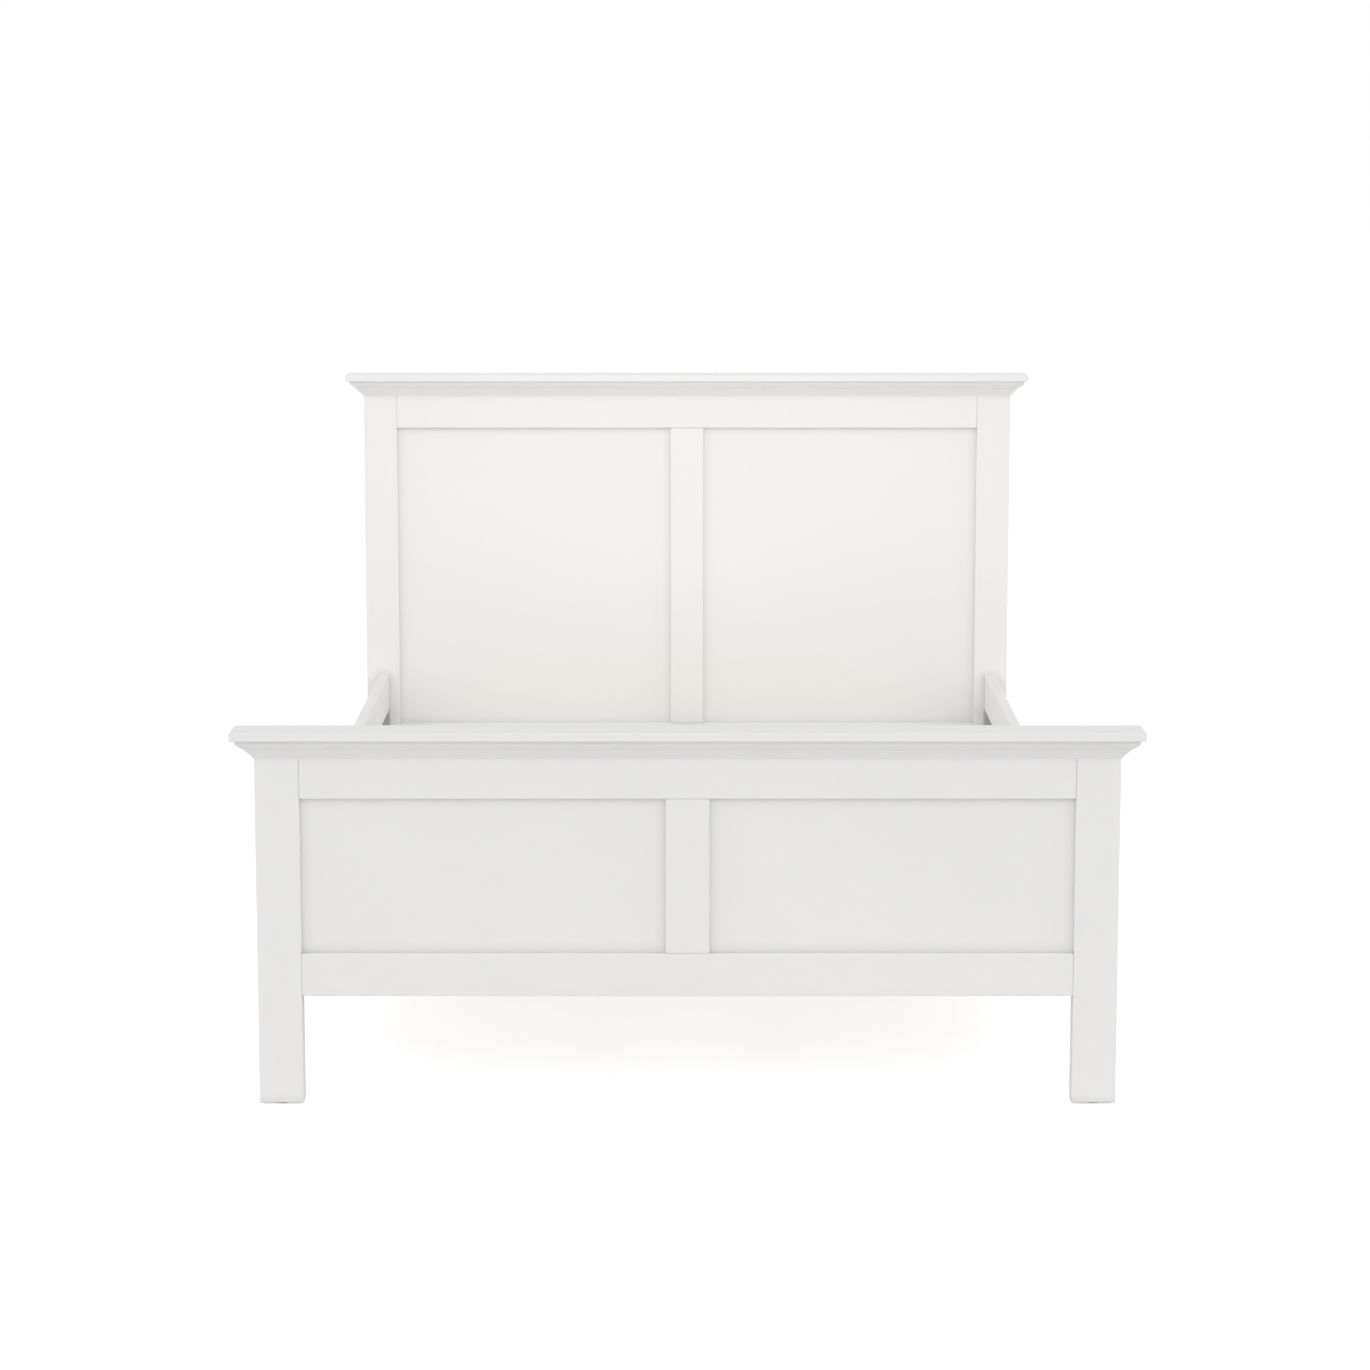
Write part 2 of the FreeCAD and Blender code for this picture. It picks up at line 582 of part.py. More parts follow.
def make_saddle(end):
    """The steel trough on a bottom rail in which an end of the centre beam lies."""
    face = f"{end}_saddle_face"
    corner_y = into_bed(end, "0", "saddle_reach", face)[0]
    piece = Piece(f"{end}_beam_saddle", ("-saddle_plate_width / 2", corner_y, "saddle_bottom"))
    piece.block("BackPlate", ("-saddle_plate_width / 2", "saddle_plate_width / 2"),
                into_bed(end, "0", "saddle_thickness", face), ("saddle_bottom", "slat_seat"))
    piece.block("Trough", ("-saddle_outer", "saddle_outer"), into_bed(end, "0", "saddle_reach", face),
                ("saddle_bottom", "beam_bottom + saddle_cheek"))
    piece.cut("Channel", ("-saddle_inner", "saddle_inner"),
              into_bed(end, "saddle_thickness", "saddle_reach + cut_overrun", face),
              ("beam_bottom", "beam_bottom + saddle_cheek + cut_overrun"))
    return piece


def make_beam():
    """The rectangular steel tube that holds up the slats along the middle."""
    half = "beam_width / 2"
    piece = Piece("centre_beam", (f"-{half}", "beam_start", "beam_bottom"))
    piece.block("Tube", (f"-{half}", half), ("beam_start", "beam_stop"), ("beam_bottom", "slat_seat"))
    piece.cut("Hollow", (f"-{half} + beam_wall", f"{half} - beam_wall"),
              ("beam_start - cut_overrun", "beam_stop + cut_overrun"),
              ("beam_bottom + beam_wall", "slat_seat - beam_wall"))
    return piece


def make_leg(name, y):
    """A centre leg: a plate under the beam, a round tube and a threaded plug at its lower end."""
    half = "leg_plate_length / 2"
    piece = Piece(f"centre_leg_{name}", ("0", y, "leg_bottom"))
    piece.block("TopPlate", ("-beam_width / 2", "beam_width / 2"), (f"{y} - {half}", f"{y} + {half}"),
                ("leg_plate_bottom", "beam_bottom"))
    piece.drum("Tube", ("0", y, "leg_bottom"), "+z", "leg_radius", "leg_plate_bottom - leg_bottom")
    piece.bore("Hollow", ("0", y, "plug_top"), "+z", "leg_bore_radius", "leg_plate_bottom - plug_top")
    piece.bore("StudHole", ("0", y, "leg_bottom - cut_overrun"), "+z",
               "foot_stud_radius + foot_stud_play", "leg_plug + 2 * cut_overrun")
    return piece


def make_levelling_foot(name, y):
    """A round pad with a hexagon for a spanner and a stud that turns in the leg's plug."""
    piece = Piece(f"levelling_foot_{name}", ("0", y, "0"))
    piece.drum("Pad", ("0", y, "0"), "+z", "foot_pad_radius", "foot_pad_height")
    piece.ease("foot_pad_round", "foot_pad_height")
    hexagon = piece.body.newObject("PartDesign::AdditivePrism", "Hexagon")
    hexagon.Polygon = 6
    bind(hexagon, "Circumradius", "foot_hex_radius")
    bind(hexagon, "Height", "foot_hex_height")
    place(hexagon, ("0", y, "foot_pad_height"), piece.corner)
    piece.drum("Stud", ("0", y, "foot_hex_top"), "+z", "foot_stud_radius", "stud_top - foot_hex_top")


def make_slat(number):
    """One slat across the bed, which lies on both ledges and on the beam."""
    start = f"slat_first + {number} * slat_pitch"
    board(f"slat_{number + 1:02d}", ("-slat_end", "slat_end"), (start, f"{start} + slat_width"),
          ("slat_seat", "slat_top"), "slat_thickness")


def make_strap(side):
    """A webbing strap under the slats, stapled to each of them."""
    x = (f"{at_side(side, 'strap_middle')} - strap_width / 2",
         f"{at_side(side, 'strap_middle')} + strap_width / 2")
    y = ("slat_first", "head_front - slat_margin")
    z = ("slat_seat - strap_lift - strap_thickness", "slat_seat - strap_lift")
    piece = Piece(f"webbing_strap_{side}", (x[0], y[0], z[0]))
    piece.block("Webbing", x, y, z)


def moved(point, towards, distance):
    """A point moved along an axis by a distance."""
    index = "xyz".index(towards[1])
    shifted = f"{point[index]} {towards[0]} ({distance})"
    return point[:index] + (shifted,) + point[index + 1:]


def round_solid(kind, name, start, towards, sizes_by_property):
    """A loose cylinder or cone of a group, with its axis along one of the bed's axes."""
    solid = doc.addObject(f"Part::{kind}", name)
    for prop, formula in sizes_by_property.items():
        bind(solid, prop, formula)
    solid.Placement.Rotation = FreeCAD.Rotation(UP, DIRECTIONS[towards])
    place(solid, start)
    return solid


def make_group(label, members):
    """Identical small pieces as one sub-part of separate solids."""
    group = doc.addObject("Part::Compound", label)
    group.Label = label
    group.Links = members
    pieces.append(group)


dowels = []
screws = []


def add_dowel(joint, towards, depth_behind, holders):
    """A dowel across a joint, and its hole in both pieces that it holds together."""
    start = moved(joint, towards, f"-({depth_behind})")
    dowels.append(round_solid("Cylinder", "Dowel", start, towards,
                              {"Radius": "dowel_radius", "Height": "dowel_length"}))
    hole_start = moved(start, towards, "-dowel_end_gap")
    for holder in holders:
        holder.bore("DowelHole", hole_start, towards, "dowel_hole_radius",
                    "dowel_length + 2 * dowel_end_gap")


def add_screw(start, towards, fitting, holder):
    """A flat-headed screw that holds a fitting to a board or a tube."""
    head = round_solid("Cone", "ScrewHead", start, towards,
                       {"Radius1": "screw_head_radius", "Radius2": "screw_radius",
                        "Height": "screw_head_height"})
    shank = round_solid("Cylinder", "ScrewShank", start, towards,
                        {"Radius": "screw_radius", "Height": "screw_length"})
    screw = doc.addObject("Part::Fuse", "Screw")
    screw.Base = head
    screw.Tool = shank
    screws.append(screw)
    fitting.countersink("ScrewSeat", start, towards)
    holder.bore("ScrewHole", start, towards, "screw_radius + screw_play", "screw_length + screw_play")


def make_end_board(end):
    """Head board or foot board: frame, panels, moulding and cap, joined by dowels."""
    posts = {side: make_post(end, side) for side in SIDES}
    top_bottom = f"{end}_top_rail_bottom"
    cap_bottom = f"{end}_cap_bottom"
    bottom_rail = make_board_rail(end, "bottom_rail", ("rail_clearance", "bottom_rail_top"),
                                  ("bottom_rail_top - groove_depth", "bottom_rail_top + cut_overrun"))
    top_rail = make_board_rail(end, "top_rail", (top_bottom, cap_bottom),
                               (f"{top_bottom} - cut_overrun", f"{top_bottom} + groove_depth"))
    stile = make_stile(end)
    cap = make_cap(end)
    make_cornice(end)
    line = f"{end}_dowel_line"
    half_dowel = "dowel_length / 2"
    in_rail_below_cap = "dowel_length - cap_dowel_depth"
    for side in SIDES:
        make_panel(end, side)
        post = posts[side]
        seam = at_side(side, "post_inner")
        for rail, low, high in ((bottom_rail, "rail_clearance", "bottom_rail_top"),
                                (top_rail, top_bottom, cap_bottom)):
            for height in (f"{low} + dowel_edge", f"{high} - dowel_edge"):
                add_dowel((seam, line, height), outwards(side), half_dowel, (rail, post))
        stile_line = at_side(side, "(stile_half - dowel_edge)")
        add_dowel((stile_line, line, "bottom_rail_top"), "+z", half_dowel, (bottom_rail, stile))
        add_dowel((stile_line, line, top_bottom), "+z", half_dowel, (stile, top_rail))
        add_dowel((at_side(side, "post_middle"), line, cap_bottom), "+z", in_rail_below_cap, (post, cap))
        add_dowel((at_side(side, "post_inner * cap_dowel_share"), line, cap_bottom), "+z",
                  in_rail_below_cap, (top_rail, cap))
    return posts, bottom_rail


def fit_side_rail(side, posts_by_end):
    """A side rail with its ledge, and the hooked fittings at both of its ends."""
    rail = make_side_rail(side)
    ledge = make_ledge(side)
    out = outwards(side)
    for number in range(sizes.get("ledge_screw_count")):
        y = f"ledge_screw_first + {number} * ledge_screw_pitch"
        add_screw((at_side(side, "ledge_face"), y, "ledge_screw_line"), out, ledge, rail)
    for end in ENDS:
        towards_post = "+y" if end == "head" else "-y"
        bracket = make_hook_bracket(end, side)
        line = bedwards(end, "(bracket_thickness + bracket_width) / 2", POST_FACE[end])
        for height in ("bracket_bottom + bracket_screw_edge", "bracket_top - bracket_screw_edge"):
            add_screw((at_side(side, "bracket_face"), line, height), out, bracket, rail)
        post = posts_by_end[end][side]
        plate = make_slotted_plate(end, side, post)
        for height in ("plate_bottom + plate_screw_edge", "plate_top - plate_screw_edge"):
            add_screw((at_side(side, "plate_middle"), POST_FACE[end], height), towards_post, plate, post)


def fit_centre_support(bottom_rails):
    """The centre beam in its saddles, and two legs under it with levelling feet."""
    beam = make_beam()
    for end in ENDS:
        saddle = make_saddle(end)
        face = f"{end}_saddle_face"
        towards_rail = "+y" if end == "head" else "-y"
        for side in SIDES:
            start = (at_side(side, "saddle_screw_place"), bedwards(end, "saddle_thickness", face),
                     "(saddle_bottom + slat_seat) / 2")
            add_screw(start, towards_rail, saddle, bottom_rails[end])
    for name, y in LEG_PLACES.items():
        leg = make_leg(name, y)
        make_levelling_foot(name, y)
        for sign in "-+":
            line = f"{y} {sign} (leg_plate_length / 2 - leg_screw_edge)"
            add_screw(("0", line, "leg_plate_bottom"), "+z", leg, beam)


def make_glides():
    """Felt glides under the four posts."""
    glides = []
    for end in ENDS:
        for side in SIDES:
            start = (at_side(side, "post_middle"), f"{end}_front + post_depth / 2", "0")
            glides.append(round_solid("Cylinder", "Glide", start, "+z",
                                      {"Radius": "glide_radius", "Height": "glide_thickness"}))
    make_group("post_glides", glides)


def build_bed():
    """Make all sub-parts of the bed."""
    posts = {}
    bottom_rails = {}
    for end in ENDS:
        posts[end], bottom_rails[end] = make_end_board(end)
    for side in SIDES:
        fit_side_rail(side, posts)
    fit_centre_support(bottom_rails)
    for number in range(sizes.get("slat_count")):
        make_slat(number)
    for side in SIDES:
        make_strap(side)
    make_glides()
    make_group("board_dowels", dowels)
    make_group("fitting_screws", screws)


def check_model():
    """Stop if a feature failed, a cut took nothing away or a sub-part has no sound shape."""
    for item in doc.Objects:
        if "Invalid" in item.State or "Error" in item.State:
            raise RuntimeError(f"{item.Label} has the state {item.State}")
        if item.TypeId.startswith("PartDesign::Subtractive"):
            if item.Shape.Volume >= item.BaseFeature.Shape.Volume:
                raise RuntimeError(f"{item.Label} cuts nothing")
    for piece in pieces:
        if piece.Shape.isNull() or not piece.Shape.isValid():
            raise RuntimeError(f"{piece.Label} has no valid shape")


build_bed()
doc.recompute()
check_model()
os.makedirs("parts", exist_ok=True)
for piece in pieces:
    piece.Shape.exportStep(f"parts/{piece.Label}.step")
    print(f"{piece.Label}: {len(piece.Shape.Solids)} solid(s), {piece.Shape.Volume:.0f} cubic mm")
print(f"{len(pieces)} sub-parts")
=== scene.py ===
# %% [markdown]
# # A white panelled bed
#
# The bed comes in as a packed frame: boards, posts, mouldings, slats and fittings that already have their
# real shape, size and place. This lesson gives every surface its finish, makes the small parts whose
# detail a solid does not carry (screw heads, threads, felt, webbing and staples), and sets up a studio
# round it. All lengths are metres. X runs across the bed, +Y from foot to head, and +Z up.

# %% Load the packed frame
import math

import bmesh
import bpy
from mathutils import Matrix, Vector


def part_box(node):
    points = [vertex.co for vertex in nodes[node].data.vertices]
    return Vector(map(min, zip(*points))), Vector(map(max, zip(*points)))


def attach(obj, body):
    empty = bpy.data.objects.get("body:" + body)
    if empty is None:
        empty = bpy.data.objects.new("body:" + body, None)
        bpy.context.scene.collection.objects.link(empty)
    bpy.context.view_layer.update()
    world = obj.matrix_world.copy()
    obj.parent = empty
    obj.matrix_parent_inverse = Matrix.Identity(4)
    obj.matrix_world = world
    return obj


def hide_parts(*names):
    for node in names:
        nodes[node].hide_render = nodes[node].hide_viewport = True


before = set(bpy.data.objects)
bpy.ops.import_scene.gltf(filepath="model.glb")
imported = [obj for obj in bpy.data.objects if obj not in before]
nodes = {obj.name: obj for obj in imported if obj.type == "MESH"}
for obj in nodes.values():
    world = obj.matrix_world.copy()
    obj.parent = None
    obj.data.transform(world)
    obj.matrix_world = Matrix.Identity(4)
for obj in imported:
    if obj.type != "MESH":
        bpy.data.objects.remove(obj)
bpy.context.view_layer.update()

# %% [markdown]
# ## Arithmetic with sockets
#
# A finish is a small net of nodes, and most of its maths is plain arithmetic: a mask times an amount,
# or one minus a share. Linking every Math node by hand hides that. So a socket is wrapped in a Python
# object whose operators add the Math nodes, and a finish then reads like a formula.

# %% A socket that takes part in arithmetic
class Wire:
    """An output socket. Each operator adds a Math node and gives the wire of its result."""

    def __init__(self, shader, socket):
        self.shader = shader
        self.socket = socket

    def math(self, operation, first, second=0.0):
        return self.shader.node("Math", {"operation": operation}, {0: first, 1: second})

    def __add__(self, other):
        return self.math("ADD", self, other)

    def __sub__(self, other):
        return self.math("SUBTRACT", self, other)

    def __rsub__(self, other):
        return self.math("SUBTRACT", other, self)

    def __mul__(self, other):
        return self.math("MULTIPLY", self, other)

    def __truediv__(self, other):
        return self.math("DIVIDE", self, other)

    def __pow__(self, other):
        return self.math("POWER", self, other)

    __radd__ = __add__
    __rmul__ = __mul__

    def sine(self):
        return self.math("SINE", self)

    def floor(self):
        return self.math("FLOOR", self)

    def size(self):
        return self.math("ABSOLUTE", self)

    def above(self, limit):
        return self.math("GREATER_THAN", self, limit)

    def larger(self, other):
        return self.math("MAXIMUM", self, other)


print("a wire knows", [name for name in vars(Wire) if not name.startswith("_")])

# %% [markdown]
# ## One method for every other node
#
# Textures, mixes, bumps and shaders differ only in their type, their settings and their sockets. One
# method takes those three. Settings come first, because some of them change which sockets there are.

# %% The net of nodes of a finish
class Shader:
    """The nodes of one material or of the world."""

    def __init__(self, tree):
        self.tree = tree
        self.tree.nodes.clear()

    def node(self, kind, settings=None, sockets=None, output=0):
        """Add a node and return the wire of one of its outputs, or None for the last node."""
        node = self.tree.nodes.new("ShaderNode" + kind)
        for name, value in (settings or {}).items():
            if name == "stops":
                self.set_stops(node.color_ramp.elements, value)
            else:
                setattr(node, name, value)
        for name, value in (sockets or {}).items():
            if isinstance(value, Wire):
                self.tree.links.new(value.socket, node.inputs[name])
            else:
                node.inputs[name].default_value = value
        return Wire(self, node.outputs[output]) if len(node.outputs) else None

    def set_stops(self, elements, stops):
        """Give a colour ramp its stops: pairs of a place and a colour."""
        while len(elements) < len(stops):
            elements.new(1.0)
        for element, (place, colour) in zip(elements, stops):
            element.position = place
            element.color = colour

    def place(self, stretch=(1.0, 1.0, 1.0)):
        """The point on the object, in metres, stretched along each axis."""
        here = self.node("TexCoord", output="Object")
        return self.node("Mapping", {"vector_type": "POINT"}, {"Vector": here, "Scale": stretch})

    def noise(self, place, size, detail=2.0):
        """Soft noise from 0 to 1 whose spots are about so many metres large."""
        sockets = {"Vector": place, "Scale": 1.0 / size, "Detail": detail}
        return self.node("TexNoise", {}, sockets, "Fac")

    def blend(self, share, first, second):
        """A colour that lies between two colours."""
        return self.node("Mix", {"data_type": "RGBA"}, {0: share, 6: first, 7: second}, 2)

    def bump(self, height, depth):
        """The normal of a surface that rises by so many metres where the height is 1."""
        return self.node("Bump", {}, {"Strength": 1.0, "Distance": depth, "Height": height})

    def surface(self, **sockets):
        """End the net in a Principled surface. Its sockets are given with _ for a space."""
        named = {name.replace("_", " "): value for name, value in sockets.items()}
        shader = self.node("BsdfPrincipled", {}, named)
        self.node("OutputMaterial", {}, {"Surface": shader})


def new_finish(name):
    material = bpy.data.materials.new(name)
    material.use_nodes = True
    return material, Shader(material.node_tree)


def colour(red, green, blue):
    """A colour given as a screen shows it, from 0 to 255, as the linear numbers of a shader."""
    def linear(level):
        share = level / 255
        return share / 12.92 if share <= 0.04045 else ((share + 0.055) / 1.055) ** 2.4
    return (linear(red), linear(green), linear(blue), 1.0)


MM = 0.001
print("level 240 of 255 in linear numbers:", round(colour(240, 240, 240)[0], 3))

# %% [markdown]
# ## White lacquer
#
# The bed is sprayed with a satin white. A flat white would look like paper: real lacquer has a faint
# orange peel a few millimetres wide, a whisper of the grain below it along each board, and a gloss that
# drifts a little from place to place. All three stay so slight that they show only in the reflections.
# In inner corners and joints the white is painted a little grey: this is painted shade, which an Ambient
# Occlusion node finds within two centimetres of the corner. The grain runs along the board, so each
# direction of boards gets its own copy of the finish.

# %% The lacquer
# How far from a corner the painted shade reaches, how strong it is, and the grey it darkens the white
# towards.
PAINTED_SHADE_REACH = 20 * MM
PAINTED_SHADE_SHARE = 0.4
WHITE, BRIGHTER_WHITE, PAINTED_SHADE_GREY = colour(239, 238, 237), colour(242, 241, 240), colour(150, 149, 148)


def make_lacquer(along):
    material, shader = new_finish(f"white_lacquer_along_{along}")
    grain_stretch = tuple(0.03 if axis == along else 1.0 for axis in "xyz")
    here = shader.place()
    clouds = shader.noise(here, 0.4)
    peel = shader.noise(here, 2.6 * MM)
    grain = shader.noise(shader.place(grain_stretch), 1.1 * MM, 4.0)
    drift = shader.noise(here, 60 * MM)
    # The Ambient Occlusion node gives the open share round a point; the rest darkens the white towards
    # grey, as painted shade in corners and joints.
    open_share = shader.node("AmbientOcclusion", {"samples": 12}, {"Distance": PAINTED_SHADE_REACH}, "AO")
    white = shader.blend(clouds, WHITE, BRIGHTER_WHITE)
    shader.surface(
        Base_Color=shader.blend((1.0 - open_share) * PAINTED_SHADE_SHARE, white, PAINTED_SHADE_GREY),
        Roughness=0.5 + drift * 0.1,
        Specular_IOR_Level=0.3,
        Normal=shader.bump(peel * 0.8 + grain * 0.2, 0.025 * MM),
    )
    return material


lacquer = {axis: make_lacquer(axis) for axis in "xyz"}
print("lacquers:", [material.name for material in lacquer.values()])

# %% [markdown]
# ## Pine slats
#
# The slats are planed pine. What makes pine read as pine are its year rings, which meet a sawn face as
# long lines, and the odd knot that the lines flow round. Rings are circles round the heart of the tree,
# so the pattern is the distance from a line that runs along the slat, well below it. Good years grow
# wide rings and bad years narrow ones, which noise over that distance gives. All slats lie in one frame
# of coordinates, so the number of a slat comes from its place along the bed, and a random number per
# slat moves its heart line, so that no two are alike.

# %% The pine
slat_low, slat_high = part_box("slat_01")
SLAT_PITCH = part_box("slat_02")[0].y - slat_low.y
SLAT_WIDTH = slat_high.y - slat_low.y
RING_WIDTH = 3.6 * MM
RING_SHIFT = 5 * MM
YEARS_CHANGE = 8 * MM
KNOT_CORE, KNOT_EDGE = 0.012, 0.055
LINES_WANDER = 12 * MM
KNOT_PUSH = 6 * MM


def make_pine():
    material, shader = new_finish("planed_pine")
    here = shader.place()
    x, y, z = (shader.node("SeparateXYZ", {}, {0: here}, axis) for axis in "XYZ")
    number = ((y - (slat_low.y - SLAT_PITCH / 2)) / SLAT_PITCH).floor()
    luck = shader.node("TexWhiteNoise", {"noise_dimensions": "1D"}, {"W": number}, "Value")
    other_luck = shader.node("TexWhiteNoise", {"noise_dimensions": "1D"}, {"W": number + 0.5}, "Value")
    own_place = shader.node("CombineXYZ", {}, {"X": x + luck * 3.0, "Y": y, "Z": z})
    knot_gap = shader.node("TexVoronoi", {"feature": "F1"}, {"Vector": own_place, "Scale": 2.6}, "Distance")
    knot = 1.0 - shader.node("MapRange", {}, {0: knot_gap, 1: KNOT_CORE, 2: KNOT_EDGE})
    drawn_out = shader.node("Mapping", {}, {"Vector": own_place, "Scale": (0.12, 1.0, 1.0)})
    wander = shader.noise(drawn_out, 0.05)
    aside = y - number * SLAT_PITCH - slat_low.y - SLAT_WIDTH * (other_luck - 0.2) * 1.6
    below = z - slat_low.z + 0.02 + luck * 0.03
    heart = (aside * aside + below * below) ** 0.5 + wander * LINES_WANDER + knot * KNOT_PUSH
    years = {"W": heart, "Scale": 1.0 / YEARS_CHANGE, "Detail": 1.0}
    good_years = shader.node("TexNoise", {"noise_dimensions": "1D"}, years, "Fac")
    ring = ((heart + good_years * RING_SHIFT) * (2 * math.pi / RING_WIDTH)).sine() * 0.5 + 0.5
    late_wood = ring ** 3.0
    far_drawn_out = shader.node("Mapping", {}, {"Vector": own_place, "Scale": (0.02, 1.0, 1.0)})
    fibre = shader.noise(far_drawn_out, 0.7 * MM, 3.0)
    pale = shader.blend(luck, colour(234, 228, 217), colour(238, 233, 225))
    ringed = shader.blend(late_wood * 0.5, pale, colour(212, 194, 166))
    fibred = shader.blend(fibre * 0.3, ringed, colour(226, 213, 192))
    shader.surface(
        Base_Color=shader.blend(knot * 0.8, fibred, colour(126, 78, 42)),
        Roughness=0.5 + fibre * 0.2,
        Normal=shader.bump(fibre * 0.7 - late_wood * 0.2, 0.06 * MM),
    )
    return material


pine = make_pine()
print(f"slats every {SLAT_PITCH * 1000:.1f} mm, {SLAT_WIDTH * 1000:.0f} mm wide")

# %% [markdown]
# ## Beech dowels
#
# The dowels are hidden in the boards. They are still beech: pinkish brown with short dark flecks.

# %% The beech
def make_beech():
    material, shader = new_finish("beech")
    flecks = shader.noise(shader.place((1.0, 1.0, 0.15)), 0.9 * MM, 3.0)
    ramp = [(0.35, colour(170, 122, 84)), (0.6, colour(205, 160, 118))]
    shader.surface(
        Base_Color=shader.node("ValToRGB", {"stops": ramp}, {0: flecks}),
        Roughness=0.55 + flecks * 0.15,
        Normal=shader.bump(flecks, 0.05 * MM),
    )
    return material


beech = make_beech()
print(beech.name)

# %% [markdown]
# ## Steel
#
# The ledges, the beam and the legs are powder coated: a matt grey with a fine pebbled skin. Brackets,
# plates and screws are zinc plated instead, which is bright metal with cloudy patches and fine drawn
# lines. One function per finish keeps the two apart.

# %% The two steels
def make_powder_coat():
    material, shader = new_finish("grey_powder_coat")
    here = shader.place()
    pebbles = shader.noise(here, 0.9 * MM, 3.0)
    dust = shader.noise(here, 0.12, 4.0)
    shader.surface(
        Base_Color=shader.blend(dust, colour(138, 139, 141), colour(150, 151, 153)),
        Roughness=0.5 + pebbles * 0.15,
        Normal=shader.bump(pebbles, 0.12 * MM),
    )
    return material


def make_zinc():
    material, shader = new_finish("zinc_plate")
    here = shader.place()
    patches = shader.noise(here, 5 * MM, 3.0)
    lines = shader.noise(shader.place((1.0, 1.0, 0.05)), 0.35 * MM, 2.0)
    shader.surface(
        Base_Color=shader.blend(patches, colour(176, 180, 184), colour(206, 207, 204)),
        Metallic=1.0,
        Roughness=0.28 + patches * 0.22,
        Normal=shader.bump(lines, 0.015 * MM),
    )
    return material


powder_coat = make_powder_coat()
zinc = make_zinc()
print(powder_coat.name, zinc.name)

# %% [markdown]
# ## Plastic, felt and webbing
#
# The feet are moulded plastic with the fine spark texture of the tool. Felt is matted wool: mottled, very
# rough, with a fuzz that catches light at its edge. The webbing is woven, so its threads pass over and
# under each other: where the product of two sine waves is above zero the long threads lie on top, and
# elsewhere the cross threads. A few darker guide threads run near each edge of it.

# %% The plastic and the felt
def make_plastic():
    material, shader = new_finish("black_moulded_plastic")
    here = shader.place()
    spark = shader.noise(here, 0.4 * MM, 2.0)
    wear = shader.noise(here, 12 * MM, 3.0)
    shader.surface(
        Base_Color=shader.blend(wear, colour(34, 34, 35), colour(48, 48, 49)),
        Roughness=0.48 + wear * 0.14,
        Normal=shader.bump(spark, 0.04 * MM),
    )
    return material


def make_felt():
    material, shader = new_finish("pale_felt")
    here = shader.place()
    tufts = shader.noise(here, 1.4 * MM, 5.0)
    hairs = shader.noise(here, 0.25 * MM, 4.0)
    shader.surface(
        Base_Color=shader.blend(tufts, colour(186, 183, 177), colour(222, 219, 213)),
        Roughness=0.92,
        Sheen_Weight=0.4,
        Normal=shader.bump(tufts * 0.6 + hairs * 0.4, 0.3 * MM),
    )
    return material


plastic = make_plastic()
felt = make_felt()
print(plastic.name, felt.name)


# %% The webbing
strap_low, strap_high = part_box("webbing_strap_right")
LONG_THREAD, CROSS_THREAD = 1.5 * MM, 1.3 * MM
GUIDE_START, GUIDE_END = 7.5 * MM, 9 * MM


def make_webbing():
    material, shader = new_finish("woven_webbing")
    here = shader.place()
    x, y = (shader.node("SeparateXYZ", {}, {0: here}, axis) for axis in "XY")
    across = (x * (math.pi / LONG_THREAD)).sine()
    along = (y * (math.pi / CROSS_THREAD)).sine()
    over = (across * along).above(0.0)
    long_threads = (1.0 - across * across) * over
    cross_threads = (1.0 - along * along) * (1.0 - over)
    fuzz = shader.noise(here, 0.5 * MM, 3.0)
    threads = long_threads + cross_threads
    from_middle = (x.size() - (strap_low.x + strap_high.x) / 2).size()
    guide = from_middle.above(GUIDE_START) * (1.0 - from_middle.above(GUIDE_END))
    woven = shader.blend(threads * 0.6 + fuzz * 0.4, colour(150, 145, 134), colour(214, 209, 197))
    shader.surface(
        Base_Color=shader.blend(guide * threads, woven, colour(120, 112, 100)),
        Roughness=0.85,
        Normal=shader.bump(threads + fuzz * 0.25, 0.35 * MM),
    )
    return material


webbing = make_webbing()
print(webbing.name)

# %% [markdown]
# ## Dressing the nodes
#
# Most nodes already have the right shape and only need their finish. Posts and stiles stand up, rails,
# caps and front mouldings lie across the bed, and side rails run along it, so the name of a node tells
# which way its grain goes.

# %% Finish every node
def finish_of(name):
    """The material of a node, chosen by what the node is."""
    if name.startswith("slat_ledge") or name.startswith("centre_") or "saddle" in name:
        return powder_coat
    if "bracket" in name or "slotted_plate" in name or name == "fitting_screws":
        return zinc
    if name.startswith("slat_"):
        return pine
    if name.startswith("side_rail") or name.endswith(("cornice_left", "cornice_right")):
        return lacquer["y"]
    if "post_" in name or "stile" in name or "panel" in name:
        return lacquer["z"]
    return lacquer["x"]


special = {"board_dowels": beech, "post_glides": felt, "webbing_strap_left": webbing,
           "webbing_strap_right": webbing, "levelling_foot_front": plastic, "levelling_foot_rear": plastic}
for name, node in nodes.items():
    node.data.materials.clear()
    node.data.materials.append(special.get(name) or finish_of(name))
print("finishes in use:", sorted({node.data.materials[0].name for node in nodes.values()}))

# %% [markdown]
# ## Making new pieces
#
# A new piece is a bmesh that starts from a simple shape and is turned into the real one by operators. At
# the end it becomes an object whose place is in its mesh, with smooth shading that stops at sharp edges,
# and it is told which body it moves with, and the nodes it stands for are hidden.

# %% Turn a bmesh into a piece
SHARP_ANGLE = math.radians(35)
CLOSE = 0.01 * MM
SAME = 0.001 * MM


def add_piece(name, shape, material, body, replaced=()):
    bmesh.ops.recalc_face_normals(shape, faces=shape.faces)
    data = bpy.data.meshes.new(name)
    shape.to_mesh(data)
    shape.free()
    data.materials.append(material)
    data.polygons.foreach_set("use_smooth", [True] * len(data.polygons))
    data.set_sharp_from_angle(angle=SHARP_ANGLE)
    piece = bpy.data.objects.new(name, data)
    bpy.context.scene.collection.objects.link(piece)
    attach(piece, body)
    if replaced:
        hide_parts(*replaced)
    print(f"{name}: {len(data.vertices)} vertices")


